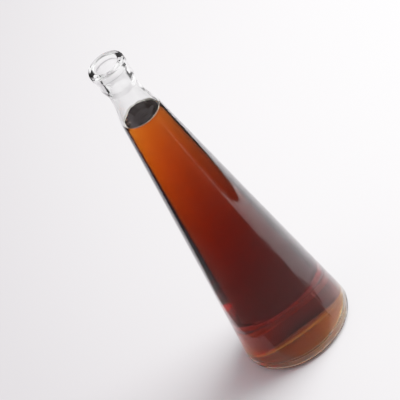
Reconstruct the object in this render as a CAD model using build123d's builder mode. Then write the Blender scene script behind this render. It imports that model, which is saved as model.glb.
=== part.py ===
"""Conical glass flask with a ringed mouth, standing nearly full of a dark amber liquid.

Two things come apart on a bench: the moulded glass, and what has been poured into it.
Millimetres, +Z up. The origin is the centre of the circle the flask stands on, and the
mould's two parting lines run up the glass at +X and -X.
"""

import os
from math import acos, atan2, cos, degrees, hypot, radians, sin, tan

from build123d import *

# overall
overall_height = 273.0
base_diameter = 82.0  # widest, at the top of the heel
heel_radius = 5.0  # outside rounding between the side and the foot

# glass thickness
wall = 1.6  # side, shoulder and neck
base_thickness = 3.5  # lifted part of the bottom

# bottom
push_up = 13.0  # how far the middle of the underside is lifted off the table
foot_width = 3.4  # ring that the flask stands on
foot_inner_rounding = 1.0
inner_heel_radius = 5.0

# grip marks pressed across the outer edge of the foot
mark_count = 96
mark_radius = 0.55
mark_depth = 0.3
mark_reach = 1.2  # how far a mark runs in over the flat of the foot

# shoulder and neck
neck_height = 49.0  # from the top of the straight side to the rim
side_top_diameter = 30.4  # where the straight side ends
shoulder_radius = 45.0  # outward curve at the top of the side
throat_radius = 72.0  # inward curve from the shoulder into the neck
neck_diameter = 21.8

# finish: the bore, and the ring and collar that a stopper or crown cap closes on
bore_diameter = 16.8
bore_depth = 16.0  # below the rim, down to where the neck opens out
bore_rounding = 4.0
mouth_rounding = 1.2
ring_diameter = 26.6
ring_height = 5.0
ring_slope = 1.0  # height of the sloping underside of the ring
ring_top_rounding = 2.0
ring_bottom_rounding = 0.7
collar_diameter = 24.8
collar_drop = 16.0  # bottom of the collar, below the rim
collar_rounding = 1.5

# raised parting lines left by the mould, up the straight side
seam_height = 0.12
seam_angle = 0.6  # degrees of arc that one line covers

# liquid
fill_drop = 48.0  # liquid level, below the rim
meniscus = 1.6  # how far the liquid climbs the glass

# places that follow from the sizes above
foot_radius = base_diameter / 2 - heel_radius
foot_inner_radius = foot_radius - foot_width
dome_radius = (foot_inner_radius**2 + push_up**2) / (2 * push_up)
dome_centre_z = push_up - dome_radius

bore_radius = bore_diameter / 2
neck_radius = neck_diameter / 2
side_top_radius = side_top_diameter / 2
side_top_z = overall_height - neck_height
ring_z = overall_height - ring_height
collar_z = overall_height - collar_drop
bore_z = overall_height - bore_depth
liquid_level = overall_height - fill_drop

# lean of the straight side, which touches the arc of the heel
side_dx = side_top_radius - foot_radius
side_dz = side_top_z - heel_radius
lean = degrees(atan2(side_dz, side_dx) - acos(heel_radius / hypot(side_dx, side_dz)))
side_up = Vector(-tan(radians(lean)), 1).normalized()
side_out = Vector(1, tan(radians(lean))).normalized()

# lean where the shoulder's two arcs meet
arcs_span = shoulder_radius * cos(radians(lean)) + throat_radius - side_top_radius + neck_radius
steep = degrees(acos(arcs_span / (shoulder_radius + throat_radius)))

# top of the throat, where the glass starts to thicken towards the collar
shoulder_rise = shoulder_radius * (sin(radians(steep)) - sin(radians(lean)))
throat_z = side_top_z + shoulder_rise + throat_radius * sin(radians(steep))


def side_top(depth: float) -> Vector:
    """Top end of the straight side in half section, `depth` under the outer surface."""
    return Vector(side_top_radius, side_top_z) - side_out * depth


def neck_arcs(depth: float) -> Vector:
    """Draw the shoulder and the throat on the current line and return where they end."""
    shoulder = JernArc(side_top(depth), side_up, shoulder_radius - depth, steep - lean)
    throat = JernArc(shoulder @ 1, shoulder % 1, throat_radius + depth, -steep)
    return throat @ 1


def outside_sketch() -> Sketch:
    """Half section of the flask as if it were solid glass."""
    with BuildSketch(Plane.XZ) as section:
        with BuildLine():
            heel = JernArc((foot_radius, 0), (1, 0), heel_radius, 90 + lean)
            Line(heel @ 1, side_top(0))
            Polyline(
                neck_arcs(0),
                (collar_diameter / 2, collar_z),
                (collar_diameter / 2, ring_z - ring_slope),
                (ring_diameter / 2, ring_z),
                (ring_diameter / 2, overall_height),
                (0, overall_height),
                (0, 0),
                (foot_radius, 0),
            )
        make_face()
        for low, high, rounding in (
            (throat_z, ring_z - ring_slope, collar_rounding),
            (ring_z, ring_z, ring_bottom_rounding),
            (overall_height, overall_height, ring_top_rounding),
        ):
            bends = section.vertices().filter_by_position(Axis.Y, low - 0.01, high + 0.01)
            fillet(bends.filter_by(lambda v: v.X > neck_radius - 0.01), rounding)
        with Locations((0, dome_centre_z)):
            Circle(dome_radius, mode=Mode.SUBTRACT)
        foot_edge = section.vertices().group_by(Axis.Y)[0].sort_by(Axis.X)[0]
        fillet(foot_edge, foot_inner_rounding)
    return section.sketch


def cavity_sketch() -> Sketch:
    """Half section of the room inside the glass, from its floor up to the rim."""
    with BuildSketch(Plane.XZ) as section:
        with BuildLine():
            top = side_top(wall)
            bottom = (top.X + (top.Y - dome_centre_z) * tan(radians(lean)), dome_centre_z)
            Line(bottom, top)
            Polyline(
                neck_arcs(wall),
                (bore_radius, bore_z),
                (bore_radius, overall_height),
                (0, overall_height),
                (0, dome_centre_z),
                bottom,
            )
        make_face()
        bends = section.vertices().filter_by_position(Axis.Y, throat_z - 0.1, bore_z + 0.1)
        fillet(bends, bore_rounding)
        with Locations((0, dome_centre_z)):
            Circle(dome_radius + base_thickness, mode=Mode.SUBTRACT)
        inner_heel = section.vertices().sort_by(Axis.X)[-1]
        fillet(inner_heel, inner_heel_radius)
    return section.sketch


def air_sketch() -> Sketch:
    """Half section of the air over the liquid, whose surface curls up at the glass."""
    edge_z = liquid_level + meniscus
    across = Edge.make_line((0, 0, edge_z), (base_diameter, 0, edge_z))
    edge = across.intersect(cavity_sketch().face()).vertices().sort_by(Axis.X)[-1].X
    with BuildSketch(Plane.XZ) as section:
        with BuildLine():
            Line((0, liquid_level), (edge - meniscus, liquid_level))
            RadiusArc((edge - meniscus, liquid_level), (edge, edge_z), -meniscus)
            Polyline(
                (edge, edge_z),
                (base_diameter, edge_z),
                (base_diameter, overall_height + meniscus),
                (0, overall_height + meniscus),
                (0, liquid_level),
            )
        make_face()
    return section.sketch


def seam_sketch() -> Sketch:
    """Half section of one parting line, lying along the straight side."""
    with BuildSketch(Plane.XZ) as section:
        with BuildLine() as side:
            foot = Vector(foot_radius, heel_radius) + side_out * heel_radius
            Line(foot + side_up * heel_radius, side_top(0) - side_up * heel_radius)
        trace(side.edges(), line_width=2 * seam_height)
    return section.sketch


# the moulded glass
with BuildPart() as glass_flask:
    revolve(outside_sketch(), axis=Axis.Z)
    revolve(cavity_sketch(), axis=Axis.Z, mode=Mode.SUBTRACT)
    mouth = glass_flask.edges().filter_by(GeomType.CIRCLE).group_by(Axis.Z)[-1]
    fillet(mouth.sort_by(SortBy.RADIUS)[0], mouth_rounding)
    with PolarLocations(0, mark_count, start_angle=180 / mark_count):
        with Locations(Location((foot_radius - mark_reach, 0, mark_depth - mark_radius), (0, 90, 0))):
            Cylinder(
                mark_radius,
                mark_reach + heel_radius,
                align=(Align.CENTER, Align.CENTER, Align.MIN),
                mode=Mode.SUBTRACT,
            )
    seam = revolve(seam_sketch(), axis=Axis.Z, revolution_arc=seam_angle, mode=Mode.PRIVATE)
    add(seam.rotate(Axis.Z, -seam_angle / 2))
    add(seam.rotate(Axis.Z, 180 - seam_angle / 2))

# the liquid, from the glass floor up to its level
with BuildPart() as liquid:
    revolve(cavity_sketch(), axis=Axis.Z)
    revolve(air_sketch(), axis=Axis.Z, mode=Mode.SUBTRACT)

glass_flask.part.label = "glass_flask"
liquid.part.label = "liquid"

os.makedirs("parts", exist_ok=True)
export_step(glass_flask.part, "parts/glass_flask.step")
export_step(liquid.part, "parts/liquid.step")

print(f"side leans {lean:.2f} degrees, shoulder {steep:.2f} degrees at its steepest")
print(f"liquid {liquid.part.volume / 1000:.0f} ml, glass {glass_flask.part.volume / 1000:.0f} cm3")
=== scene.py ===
# Conical glass flask nearly full of amber liquid, on a pale studio floor.
import math

import bmesh
import bpy
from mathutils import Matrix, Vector


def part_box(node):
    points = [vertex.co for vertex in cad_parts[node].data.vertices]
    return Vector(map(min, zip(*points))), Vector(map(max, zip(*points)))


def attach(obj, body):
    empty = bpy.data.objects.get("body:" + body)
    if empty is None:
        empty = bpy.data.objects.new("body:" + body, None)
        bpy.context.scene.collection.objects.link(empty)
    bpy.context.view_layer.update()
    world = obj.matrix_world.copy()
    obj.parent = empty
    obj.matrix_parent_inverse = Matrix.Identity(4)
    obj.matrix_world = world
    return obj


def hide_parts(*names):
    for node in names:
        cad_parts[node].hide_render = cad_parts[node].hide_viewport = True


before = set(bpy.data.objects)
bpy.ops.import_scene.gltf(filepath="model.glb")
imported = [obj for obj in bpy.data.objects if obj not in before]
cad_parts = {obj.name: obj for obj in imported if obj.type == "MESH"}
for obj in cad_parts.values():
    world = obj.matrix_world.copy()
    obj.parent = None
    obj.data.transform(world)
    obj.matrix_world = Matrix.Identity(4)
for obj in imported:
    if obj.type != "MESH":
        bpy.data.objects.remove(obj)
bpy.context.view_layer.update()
glassLow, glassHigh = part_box("glass_flask")
print("stage: frame loaded")

mm = 0.001

# sizes in millimetres; the height and the width come from the frame
flask = {
    "height": (glassHigh[2] - glassLow[2]) / mm,
    "baseDiameter": round((glassHigh[0] - glassLow[0]) / mm, 1),
    "heelRadius": 5.0,
    "wall": 1.6,
    "baseThickness": 3.5,
    "pushUp": 13.0,
    "footWidth": 3.4,
    "footInnerRounding": 1.0,
    "innerHeelRadius": 5.0,
    "neckHeight": 49.0,
    "sideTopDiameter": 30.4,
    "shoulderRadius": 45.0,
    "throatRadius": 72.0,
    "neckDiameter": 21.8,
    "boreDiameter": 16.8,
    "boreDepth": 16.0,
    "boreRounding": 4.0,
    "mouthRounding": 1.2,
    "ringDiameter": 26.6,
    "ringHeight": 5.0,
    "ringSlope": 1.0,
    "ringTopRounding": 2.0,
    "ringBottomRounding": 0.7,
    "collarDiameter": 24.8,
    "collarDrop": 16.0,
    "collarRounding": 1.5,
    "seamWidth": 0.8,
    "seamHeight": 0.13,
    "seamFrom": 6.0,  # lower end, above the table
    "seamGap": 3.0,  # between its upper end and the collar
    "markCount": 96,
    "markDepth": 0.3,
    "markReach": 1.2,  # how far a mark runs in over the flat of the foot
    "markOut": 2.6,  # and out over the heel
    "markTop": 0.8,
    "columns": 288,
}

fill = {
    "drop": 48.0,  # level below the rim
    "meniscus": 1.6,
    "tuck": 0.04,  # how far the liquid's side sits into the glass, so that no air gap shows
    "rimHighlightFrom": 0.25,  # height above the level where the painted highlight starts
    "columns": 256,
}

near = 0.01  # millimetres within which two places count as one


def deselectAll():
    if bpy.context.mode != "OBJECT":
        bpy.ops.object.mode_set(mode="OBJECT")
    bpy.ops.object.select_all(action="DESELECT")


def pickPiece(piece):
    deselectAll()
    piece.select_set(True)
    bpy.context.view_layer.objects.active = piece


# profile drawing: one point is pulled along lines and spun along arcs, in the XZ plane
def startProfile(name, x, z):
    deselectAll()
    bpy.ops.mesh.primitive_circle_add(vertices=3, radius=mm, location=(0, 0, 0))
    piece = bpy.context.object
    piece.name = name
    piece.data.name = name
    bpy.ops.object.mode_set(mode="EDIT")
    bpy.ops.mesh.select_all(action="SELECT")
    bpy.ops.mesh.merge(type="CENTER")
    bpy.ops.transform.translate(value=(x * mm, 0, z * mm))
    return piece


def tip():
    mesh = bmesh.from_edit_mesh(bpy.context.edit_object.data)
    spot = [v.co.copy() for v in mesh.verts if v.select][0]
    return spot.x / mm, spot.z / mm


def lineTo(x, z, cuts=1):
    fromX, fromZ = tip()
    step = ((x - fromX) * mm / cuts, 0, (z - fromZ) * mm / cuts)
    for _ in range(cuts):
        bpy.ops.mesh.extrude_region_move(TRANSFORM_OT_translate={"value": step})


def arcTo(x, z, centreX, centreZ, steps):
    fromX, fromZ = tip()
    start = math.atan2(fromZ - centreZ, fromX - centreX)
    end = math.atan2(z - centreZ, x - centreX)
    turn = (end - start + math.pi) % (2 * math.pi) - math.pi
    bpy.ops.mesh.spin(
        steps=steps, angle=turn, center=(centreX * mm, 0, centreZ * mm), axis=(0, 1, 0)
    )


def pickPoints(test):
    bpy.ops.mesh.select_mode(type="VERT")
    bpy.ops.mesh.select_all(action="DESELECT")
    mesh = bmesh.from_edit_mesh(bpy.context.edit_object.data)
    picked = 0
    for v in mesh.verts:
        if test(v.co.x / mm, v.co.y / mm, v.co.z / mm):
            v.select_set(True)
            picked += 1
    mesh.select_flush_mode()
    bmesh.update_edit_mesh(bpy.context.edit_object.data)
    return picked


def roundCorner(x, z, radius, steps):
    pickPoints(lambda px, py, pz: math.hypot(px - x, pz - z) < near)
    mesh = bmesh.from_edit_mesh(bpy.context.edit_object.data)
    corner = [v for v in mesh.verts if v.select][0]
    arms = [(e.other_vert(corner).co - corner.co).normalized() for e in corner.link_edges]
    turn = math.pi - arms[0].angle(arms[1])
    bpy.ops.mesh.bevel(
        offset=radius * math.tan(turn / 2) * mm, segments=steps, affect="VERTICES", profile=0.5
    )


def spinAround(columns):
    bpy.ops.mesh.select_all(action="SELECT")
    bpy.ops.mesh.spin(steps=columns, angle=2 * math.pi, center=(0, 0, 0), axis=(0, 0, 1))
    bpy.ops.mesh.select_all(action="SELECT")
    bpy.ops.mesh.remove_doubles(threshold=near / 5 * mm)
    bpy.ops.mesh.normals_make_consistent(inside=False)


# places that follow from the sizes
height = flask["height"]
footRadius = flask["baseDiameter"] / 2 - flask["heelRadius"]
footInner = footRadius - flask["footWidth"]
domeRadius = (footInner**2 + flask["pushUp"] ** 2) / (2 * flask["pushUp"])
domeCentre = flask["pushUp"] - domeRadius
boreRadius = flask["boreDiameter"] / 2
neckRadius = flask["neckDiameter"] / 2
sideTopX = flask["sideTopDiameter"] / 2
sideTopZ = height - flask["neckHeight"]
spanX = sideTopX - footRadius
spanZ = sideTopZ - flask["heelRadius"]
lean = math.atan2(spanZ, spanX) - math.acos(flask["heelRadius"] / math.hypot(spanX, spanZ))
sideOut = Vector((math.cos(lean), math.sin(lean)))
sideUp = Vector((-math.sin(lean), math.cos(lean)))
arcSpan = flask["shoulderRadius"] * math.cos(lean) + flask["throatRadius"] - sideTopX + neckRadius
steep = math.acos(arcSpan / (flask["shoulderRadius"] + flask["throatRadius"]))
shoulderCentre = Vector((sideTopX, sideTopZ)) - sideOut * flask["shoulderRadius"]
steepOut = Vector((math.cos(steep), math.sin(steep)))
throatCentre = shoulderCentre + steepOut * (flask["shoulderRadius"] + flask["throatRadius"])
ringZ = height - flask["ringHeight"]
collarZ = height - flask["collarDrop"]
boreZ = height - flask["boreDepth"]
level = height - fill["drop"]
contact = level + fill["meniscus"]  # where the liquid's edge meets the glass


def shoulderPlaces(depth):
    # ends of the shoulder's and the throat's arcs, at a depth under the outer surface
    sideTop = shoulderCentre + sideOut * (flask["shoulderRadius"] - depth)
    middle = shoulderCentre + steepOut * (flask["shoulderRadius"] - depth)
    neckStart = throatCentre - Vector((flask["throatRadius"] + depth, 0))
    return sideTop, middle, neckStart


def innerHeelPlaces(depth, floorDepth):
    # centre of the inner heel's rounding and the places where it meets the side and the floor
    radius = flask["innerHeelRadius"]
    floorRadius = domeRadius + floorDepth
    sideDistance = shoulderPlaces(depth)[0].dot(sideOut)
    base = sideOut * (sideDistance - radius) - Vector((0, domeCentre))
    along = base.dot(sideUp)
    reach = along**2 - base.dot(base) + (floorRadius + radius) ** 2
    centre = base + sideUp * (math.sqrt(reach) - along) + Vector((0, domeCentre))
    onSide = centre + sideOut * radius
    fromDome = centre - Vector((0, domeCentre))
    onFloor = Vector((0, domeCentre)) + fromDome * floorRadius / (floorRadius + radius)
    return centre, onSide, onFloor


def drawInside(depth, floorDepth, top):
    # from the middle of the floor, out and up the inner wall to the contact line or to the rim
    centre, onSide, onFloor = innerHeelPlaces(depth, floorDepth)
    sideTop, middle, neckStart = shoulderPlaces(depth)
    arcTo(onFloor.x, onFloor.y, 0, domeCentre, 20)
    arcTo(onSide.x, onSide.y, centre.x, centre.y, 16)
    lineTo(sideTop.x, sideTop.y, 24)
    radius = flask["shoulderRadius"] - depth
    contactX = shoulderCentre.x + math.sqrt(radius**2 - (contact - shoulderCentre.y) ** 2)
    arcTo(contactX, contact, shoulderCentre.x, shoulderCentre.y, 6)
    if top <= contact:
        return
    arcTo(middle.x, middle.y, shoulderCentre.x, shoulderCentre.y, 8)
    arcTo(neckStart.x, neckStart.y, throatCentre.x, throatCentre.y, 16)
    lineTo(boreRadius, boreZ)
    lineTo(boreRadius, top, 8)


# the moulded glass, drawn from the middle of its floor up the inside, over the rim and down to
# the middle of the underside
glass = startProfile("glassFlask", 0, flask["pushUp"] + flask["baseThickness"])
drawInside(flask["wall"], flask["baseThickness"], height)
bends = [
    (neckRadius - flask["wall"], throatCentre.y, flask["boreRounding"], 6),
    (boreRadius, boreZ, flask["boreRounding"], 6),
    (boreRadius, height, flask["mouthRounding"], 8),
    (flask["ringDiameter"] / 2, height, flask["ringTopRounding"], 12),
    (flask["ringDiameter"] / 2, ringZ, flask["ringBottomRounding"], 6),
    (flask["collarDiameter"] / 2, ringZ - flask["ringSlope"], flask["collarRounding"], 6),
    (flask["collarDiameter"] / 2, collarZ, flask["collarRounding"], 6),
    (neckRadius, throatCentre.y, flask["collarRounding"], 6),
]
for x, z, radius, steps in bends[3:]:
    lineTo(x, z)
sideTop, middle, neckStart = shoulderPlaces(0)
arcTo(middle.x, middle.y, throatCentre.x, throatCentre.y, 16)
arcTo(sideTop.x, sideTop.y, shoulderCentre.x, shoulderCentre.y, 12)
heelTop = Vector((footRadius, flask["heelRadius"])) + sideOut * flask["heelRadius"]
lineTo(heelTop.x, heelTop.y, 24)
arcTo(footRadius, 0, footRadius, flask["heelRadius"], 20)
lineTo(footRadius - flask["markReach"], 0)
lineTo(footInner, 0)
arcTo(0, flask["pushUp"], 0, domeCentre, 20)
for x, z, radius, steps in bends:
    roundCorner(x, z, radius, steps)
roundCorner(footInner, 0, flask["footInnerRounding"], 4)
spinAround(flask["columns"])
print("stage: glass turned,", len(bmesh.from_edit_mesh(glass.data).verts), "points")

# grip marks: one column in three is pressed up along the outer edge of the foot
columnAngle = 360 / flask["columns"]
columnsPerMark = flask["columns"] // flask["markCount"]
markFrom = footRadius - flask["markReach"] - near
markTo = footRadius + flask["markOut"]


def onMark(x, y, z):
    column = round(math.degrees(math.atan2(y, x)) / columnAngle)
    onBand = markFrom < math.hypot(x, y) < markTo
    return column % columnsPerMark == 1 and onBand and z < flask["markTop"]


def wallMiddle(z):
    # radius halfway through the wall, on the straight side, the shoulder, the throat and the neck
    half = flask["wall"] / 2
    if z < sideTopZ:
        return sideTopX + (sideTopZ - z) * math.tan(lean) - half / math.cos(lean)
    if z < shoulderCentre.y + flask["shoulderRadius"] * math.sin(steep):
        radius = flask["shoulderRadius"] - half
        return shoulderCentre.x + math.sqrt(radius**2 - (z - shoulderCentre.y) ** 2)
    if z < throatCentre.y:
        radius = flask["throatRadius"] + half
        return throatCentre.x - math.sqrt(radius**2 - (throatCentre.y - z) ** 2)
    return neckRadius - half


def onInside(x, y, z):
    reach = math.hypot(x, y)
    floorMiddle = domeCentre + math.sqrt(
        max(0, (domeRadius + flask["baseThickness"] / 2) ** 2 - reach**2)
    )
    return reach < wallMiddle(z) and z > floorMiddle


pickPoints(onMark)
bpy.ops.transform.translate(value=(0, 0, flask["markDepth"] * mm))


# parting lines: the outer column on each side is split into a narrow strip and its middle raised
def onSeam(x, y, z):
    upTheSide = flask["seamFrom"] < z < collarZ - flask["seamGap"]
    return upTheSide and abs(y) < near / 10 and abs(x) > wallMiddle(z)


pickPoints(onSeam)
bpy.ops.mesh.select_mode(type="EDGE")
halfSeam = flask["seamWidth"] / 2 * mm
bpy.ops.mesh.bevel(offset=halfSeam, segments=2, affect="EDGES", clamp_overlap=True)
for side in (1, -1):
    pickPoints(lambda x, y, z: onSeam(x, y, z) and x * side > 0)
    bpy.ops.transform.translate(value=(side * flask["seamHeight"] * mm, 0, 0))
print("stage: foot marks and parting lines")


def finishSmooth(piece):
    pickPiece(piece)
    bpy.ops.object.shade_smooth()


# moulded glass is never quite even inside: the inner wall of the neck and bore waves a little
neckWave = {
    "size": 7.0,
    "depth": 0.5,
    "margin": 2.0,  # kept even over the liquid and under the rim
    "fadeLow": 12.0,
    "fadeHigh": 5.0,
}


def unevenNeck(piece):
    pickPiece(piece)
    waves = piece.vertex_groups.new(name="waves")
    low, high = contact + neckWave["margin"], height - neckWave["margin"]
    for v in piece.data.vertices:
        place = v.co / mm
        if low < place.z < high and onInside(place.x, place.y, place.z):
            rise = (place.z - low) / neckWave["fadeLow"]
            fall = (high - place.z) / neckWave["fadeHigh"]
            waves.add([v.index], min(1, rise, fall), "REPLACE")
    texture = bpy.data.textures.new("neckWaves", "CLOUDS")
    texture.noise_scale = neckWave["size"] * mm
    texture.noise_depth = 1
    displace = piece.modifiers.new("waves", "DISPLACE")
    displace.texture = texture
    displace.texture_coords = "LOCAL"
    displace.vertex_group = waves.name
    displace.strength = neckWave["depth"] * mm
    displace.mid_level = 0.5
    bpy.ops.object.modifier_apply(modifier=displace.name)


unevenNeck(glass)
finishSmooth(glass)

# the liquid, drawn from the middle of the floor up the glass and back over its own surface
liquidFloor = flask["baseThickness"] - fill["tuck"]
liquid = startProfile("amberLiquid", 0, flask["pushUp"] + liquidFloor)
drawInside(flask["wall"] - fill["tuck"], liquidFloor, contact)
edgeX, edgeZ = tip()
arcTo(edgeX - fill["meniscus"], level, edgeX - fill["meniscus"], contact, 10)
lineTo(0, level, 8)
spinAround(fill["columns"])
finishSmooth(liquid)
print("stage: liquid poured")


# materials
def newMaterial(name):
    material = bpy.data.materials.new(name)
    material.use_nodes = True
    nodes, links = material.node_tree.nodes, material.node_tree.links
    return material, nodes, links, nodes["Principled BSDF"]


def addBump(nodes, links, shader, grain):
    place = nodes.new("ShaderNodeTexCoord")
    noise = nodes.new("ShaderNodeTexNoise")
    noise.inputs["Scale"].default_value = grain["scale"]
    noise.inputs["Detail"].default_value = 2
    bump = nodes.new("ShaderNodeBump")
    bump.inputs["Strength"].default_value = grain["strength"]
    bump.inputs["Distance"].default_value = grain["distance"]
    links.new(place.outputs["Object"], noise.inputs["Vector"])
    links.new(noise.outputs["Fac"], bump.inputs["Height"])
    links.new(bump.outputs["Normal"], shader.inputs["Normal"])


look = {
    "glassIor": 1.52,
    "liquidIor": 1.345,
    "liquidColour": (0.836, 0.539, 0.0),
    "liquidDensity": 180,
    # painted highlight on the top of the meniscus: its pale colour, roughness, clearness and fine
    # bump
    "rimHighlightColour": (0.9, 0.84, 0.76),
    "rimRoughness": 0.3,
    "rimClearness": 0.25,
    "rimGrain": {"scale": 900, "strength": 0.3, "distance": 0.0003},
    "surfaceTint": (0.8, 0.15, 0.0),
    "glassTint": (0.985, 0.995, 0.99),
    "glassRipple": {"scale": 30, "strength": 0.08, "distance": 0.001},
}


def clearMaterial(name, ior, tint=(1, 1, 1)):
    material, nodes, links, shader = newMaterial(name)
    shader.inputs["Base Color"].default_value = (*tint, 1)
    shader.inputs["Roughness"].default_value = 0
    shader.inputs["IOR"].default_value = ior
    shader.inputs["Transmission Weight"].default_value = 1
    return material, nodes, links, shader


def addAbsorption(material, nodes, links):
    soak = nodes.new("ShaderNodeVolumeAbsorption")
    soak.inputs["Color"].default_value = (*look["liquidColour"], 1)
    soak.inputs["Density"].default_value = look["liquidDensity"]
    links.new(soak.outputs["Volume"], nodes["Material Output"].inputs["Volume"])


clearGlass, nodes, links, shader = clearMaterial("clearGlass", look["glassIor"], look["glassTint"])
addBump(nodes, links, shader, look["glassRipple"])
# the wetted glass bends light by the ratio of the two; the liquid's side, sunk in the glass, doesn't
wettedGlass = clearMaterial("wettedGlass", look["glassIor"] / look["liquidIor"])[0]
liquidTop, nodes, links, shader = clearMaterial("liquidTop", look["liquidIor"])
shader.inputs["Specular Tint"].default_value = (*look["surfaceTint"], 1)
addAbsorption(liquidTop, nodes, links)
liquidSide, nodes, links, shader = clearMaterial("liquidSide", 1.0)
addAbsorption(liquidSide, nodes, links)
# painted highlight: a pale, rough, half-clear material for the top of the meniscus
liquidRimHighlight, nodes, links, shader = clearMaterial("liquidRimHighlight", look["liquidIor"], look["rimHighlightColour"])
shader.inputs["Roughness"].default_value = look["rimRoughness"]
shader.inputs["Transmission Weight"].default_value = look["rimClearness"]
addBump(nodes, links, shader, look["rimGrain"])


def assignFaces(piece, slot, test):
    pickPiece(piece)
    bpy.ops.object.mode_set(mode="EDIT")
    bpy.ops.mesh.select_mode(type="FACE")
    bpy.ops.mesh.select_all(action="DESELECT")
    mesh = bmesh.from_edit_mesh(piece.data)
    for face in mesh.faces:
        centre = face.calc_center_median() / mm
        face.select_set(test(centre, face.normal))
    bmesh.update_edit_mesh(piece.data)
    piece.active_material_index = slot
    bpy.ops.object.material_slot_assign()
    deselectAll()


def isWall(centre, normal):
    # the side of the liquid faces out; its surface and the curl at the edge face up and in
    return centre.z < level - near or normal.x * centre.x + normal.y * centre.y > near


for material in (clearGlass, wettedGlass):
    glass.data.materials.append(material)
assignFaces(glass, 1, lambda c, n: onInside(c.x, c.y, c.z) and c.z < contact)
for material in (liquidTop, liquidSide, liquidRimHighlight):
    liquid.data.materials.append(material)
assignFaces(liquid, 1, isWall)
# painted highlight: the top of the meniscus gets a pale, rough, half-clear material that stands in
# for the bright line of its highlight
assignFaces(liquid, 2, lambda c, n: c.z > level + fill["rimHighlightFrom"] and not isWall(c, n))

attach(glass, "root")
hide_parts("glass_flask")
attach(liquid, "root")
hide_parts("liquid")
print("stage: materials")

# camera: the parting line is 33.5 degrees to the right of it
view = {
    "azimuth": -33.5,
    "elevation": 36.84,
    "roll": 36.61,
    "distance": 1.8822,
    "aimHeight": 0.1398,
    "aimSide": -0.00377,
    "lens": 252,
    "film": 36,
    "shift": (0.00275, 0.00175),
}
turn = math.radians(view["azimuth"])
tilt = math.radians(view["elevation"])
back = Vector((math.cos(turn) * math.cos(tilt), math.sin(turn) * math.cos(tilt), math.sin(tilt)))
right = Vector((-math.sin(turn), math.cos(turn), 0))
aim = right * view["aimSide"] + Vector((0, 0, view["aimHeight"]))
cameraData = bpy.data.cameras.new("camera")
cameraData.lens = view["lens"]
cameraData.sensor_width = view["film"]
cameraData.shift_x, cameraData.shift_y = view["shift"]
camera = bpy.data.objects.new("camera", cameraData)
bpy.context.scene.collection.objects.link(camera)
camera.location = aim + back * view["distance"]
camera.rotation_mode = "QUATERNION"
camera.rotation_quaternion = back.to_track_quat("Z", "Y")
camera.rotation_mode = "XYZ"
camera.rotation_euler.rotate_axis("Z", -math.radians(view["roll"]))
bpy.context.scene.camera = camera

# floor and light
deselectAll()
bpy.ops.mesh.primitive_plane_add(size=6, location=(0, 0, 0))
floor = bpy.context.object
floor.name = "floor"
floorPaper, nodes, links, shader = newMaterial("floorPaper")
shader.inputs["Roughness"].default_value = 0.9
floor.data.materials.append(floorPaper)

# the room: bright to the right of the camera, dimmer behind the camera and to its left
room = {
    "azimuth": 108,
    "elevation": 8,
    "dark": (0.12, 0.11, 0.11, 1),
    "middle": (0.34, 0.33, 0.335, 1),
    "bright": (1.3, 1.27, 1.3, 1),
    "darkUntil": 0.25,
    "middleAt": 0.6,
}


def direction(azimuth, elevation):
    # azimuth counts from the camera's side of the flask, positive to its right
    swing = turn + math.radians(azimuth)
    lift = math.radians(elevation)
    return Vector(
        (math.cos(swing) * math.cos(lift), math.sin(swing) * math.cos(lift), math.sin(lift))
    )


studio = bpy.data.worlds.new("studio")
studio.use_nodes = True
nodes, links = studio.node_tree.nodes, studio.node_tree.links
place = nodes.new("ShaderNodeTexCoord")
facing = nodes.new("ShaderNodeVectorMath")
facing.operation = "DOT_PRODUCT"
facing.inputs[1].default_value = direction(room["azimuth"], room["elevation"])
spread = nodes.new("ShaderNodeMapRange")
spread.inputs["From Min"].default_value = -1
ramp = nodes.new("ShaderNodeValToRGB")
ramp.color_ramp.elements[0].color = room["dark"]
ramp.color_ramp.elements[0].position = room["darkUntil"]
ramp.color_ramp.elements[1].color = room["bright"]
middle = ramp.color_ramp.elements.new(room["middleAt"])
middle.color = room["middle"]
links.new(place.outputs["Generated"], facing.inputs[0])
links.new(facing.outputs["Value"], spread.inputs["Value"])
links.new(spread.outputs["Result"], ramp.inputs["Fac"])
links.new(ramp.outputs["Color"], nodes["Background"].inputs["Color"])
nodes["Background"].inputs["Strength"].default_value = 1
bpy.context.scene.world = studio


# a key to the right, and a wide, weak fill to the left that evens out the shadow
lamps = {
    "keyLight": {"azimuth": 104, "elevation": 42, "distance": 0.95, "size": 0.8, "watts": 20},
    "fillLight": {"azimuth": 275, "elevation": 45, "distance": 1.6, "size": 1.6, "watts": 6},
}
fillTint = (1, 0.93, 0.95)


def softbox(name):
    lamp = bpy.data.lights.new(name, "AREA")
    lamp.shape = "SQUARE"
    lamp.size = lamps[name]["size"]
    lamp.energy = lamps[name]["watts"]
    stand = bpy.data.objects.new(name, lamp)
    bpy.context.scene.collection.objects.link(stand)
    outward = direction(lamps[name]["azimuth"], lamps[name]["elevation"])
    stand.location = outward * lamps[name]["distance"]
    stand.rotation_euler = outward.to_track_quat("Z", "Y").to_euler()
    return stand


softbox("keyLight")
fillLight = softbox("fillLight")
fillLight.data.color = fillTint
fillLight.visible_glossy = False
fillLight.visible_transmission = False

# dark floor cards lie around the flask, as a studio uses them, but they are painted reflections:
# they bounce no light and cast no shadow.
# The camera sees none of them straight, only in what the glass reflects or, for some, in what shows
# through it
cards = {
    "black": 0.03,
    "grey": 0.27,
    "greyFrom": 0.08,  # metres from the flask's axis
    "blackFrom": 0.28,
    # painted shadow on the floor behind the flask: its grey at the middle, the paper's grey it fades
    # to, where its middle sits and how far it reaches
    "shade": 0.22,
    "paper": 0.86,
    "shadeAcross": -0.04,
    "shadeAhead": -0.05,
    "shadeFrom": 0.02,
    "shadeTo": 0.22,
    "lift": 0.001,
}
front = Vector((math.cos(turn), math.sin(turn), 0))


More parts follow.
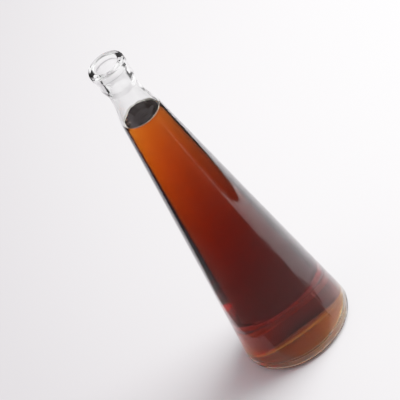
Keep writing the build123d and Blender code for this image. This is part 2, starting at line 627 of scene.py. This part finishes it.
def floorCard(name, shownBy, corners):
    # each corner is so many metres to the right of the flask and so many in front of it
    deselectAll()
    bpy.ops.mesh.primitive_plane_add(size=1, location=(0, 0, 0))
    card = bpy.context.object
    card.name = name
    for corner, (across, ahead) in zip(card.data.vertices, corners):
        corner.co = right * across + front * ahead + Vector((0, 0, cards["lift"]))
    card.visible_camera = False
    card.visible_diffuse = False
    card.visible_shadow = False
    card.visible_glossy = shownBy != "refraction"
    card.visible_transmission = shownBy != "reflection"
    paint, nodes, links, shader = newMaterial(name)
    card.data.materials.append(paint)
    return nodes, links, shader


def fade(nodes, links, operation, ends, values, along=(0, 0, 0)):
    # a value that changes with the distance from the flask or along a direction
    place = nodes.new("ShaderNodeTexCoord")
    reach = nodes.new("ShaderNodeVectorMath")
    reach.operation = operation
    reach.inputs[1].default_value = along
    span = nodes.new("ShaderNodeMapRange")
    span.inputs["From Min"].default_value, span.inputs["From Max"].default_value = ends
    span.inputs["To Min"].default_value, span.inputs["To Max"].default_value = values
    links.new(place.outputs["Object"], reach.inputs[0])
    links.new(reach.outputs["Value"], span.inputs["Value"])
    return span.outputs["Result"]


# painted light: the paper's colour is dimmer and warmer towards the left and brighter to the right,
# as the light falls off across the floor
paper = {
    "left": (0.745, 0.715, 0.745, 1),
    "right": (0.865, 0.835, 0.86, 1),
    "ends": (-0.19, 0.03),  # metres to the right of the flask
}
nodes, links = floorPaper.node_tree.nodes, floorPaper.node_tree.links
ramp = nodes.new("ShaderNodeValToRGB")
ramp.color_ramp.elements[0].color = paper["left"]
ramp.color_ramp.elements[1].color = paper["right"]
links.new(fade(nodes, links, "DOT_PRODUCT", paper["ends"], (0, 1), right), ramp.inputs["Fac"])
links.new(ramp.outputs["Color"], nodes["Principled BSDF"].inputs["Base Color"])

for name, (shownBy, corners) in {
    "cardInFront": ("reflection", [(-0.55, 0.05), (0.1, 0.05), (-0.9, 1.2), (1.25, 1.2)]),
    "cardAtLeft": ("reflection", [(-0.3, 0.09), (-0.085, 0.09), (-0.3, -0.22), (-0.085, -0.08)]),
    "cardFarLeft": ("both", [(-1.2, 0.09), (-0.3, 0.09), (-1.2, -0.8), (-0.3, -0.22)]),
    "cardAtRight": ("both", [(0.275, 0.2), (0.275, -0.5), (1.25, 1.15), (1.25, -0.9)]),
}.items():
    nodes, links, shader = floorCard(name, shownBy, corners)
    # painted reflection: each card is grey near the flask and black further out, which sets how dark
    # the glass's reflections are
    greys = (cards["grey"], cards["black"])
    shade = fade(nodes, links, "LENGTH", (cards["greyFrom"], cards["blackFrom"]), greys)
    links.new(shade, shader.inputs["Base Color"])
    shader.inputs["Roughness"].default_value = 1

# painted shadow: a grey card, seen only through the liquid, stands in for the flask's own shade on
# the floor behind it
nodes, links, shader = floorCard(
    "paintedShadeBehind", "refraction", [(-0.25, -0.3), (0.2, -0.3), (-0.25, -0.043), (0.2, -0.043)]
)
middleOfShade = right * cards["shadeAcross"] + front * cards["shadeAhead"]
greys = (cards["shade"], cards["paper"])
reach = (cards["shadeFrom"], cards["shadeTo"])
shade = fade(nodes, links, "DISTANCE", reach, greys, middleOfShade)
links.new(shade, shader.inputs["Base Color"])
shader.inputs["Roughness"].default_value = 1

scene = bpy.context.scene
scene.view_settings.view_transform = "Standard"

# highlights roll off gently: straight up to 0.45, then levelling out towards the brightest value
tone = {
    "brightest": 2.1,
    "points": [(0.02, 0.042), (0.1, 0.21), (0.214, 0.45), (0.476, 0.75), (0.762, 0.93)],
}
scene.view_settings.use_curve_mapping = True
curve = scene.view_settings.curve_mapping
curve.white_level = (tone["brightest"],) * 3
for x, y in tone["points"]:
    curve.curves[3].points.new(x, y)
curve.update()
scene.cycles.max_bounces = 24
scene.cycles.transmission_bounces = 20
scene.cycles.caustics_refractive = True
scene.cycles.caustics_reflective = True
print("stage: camera and light")
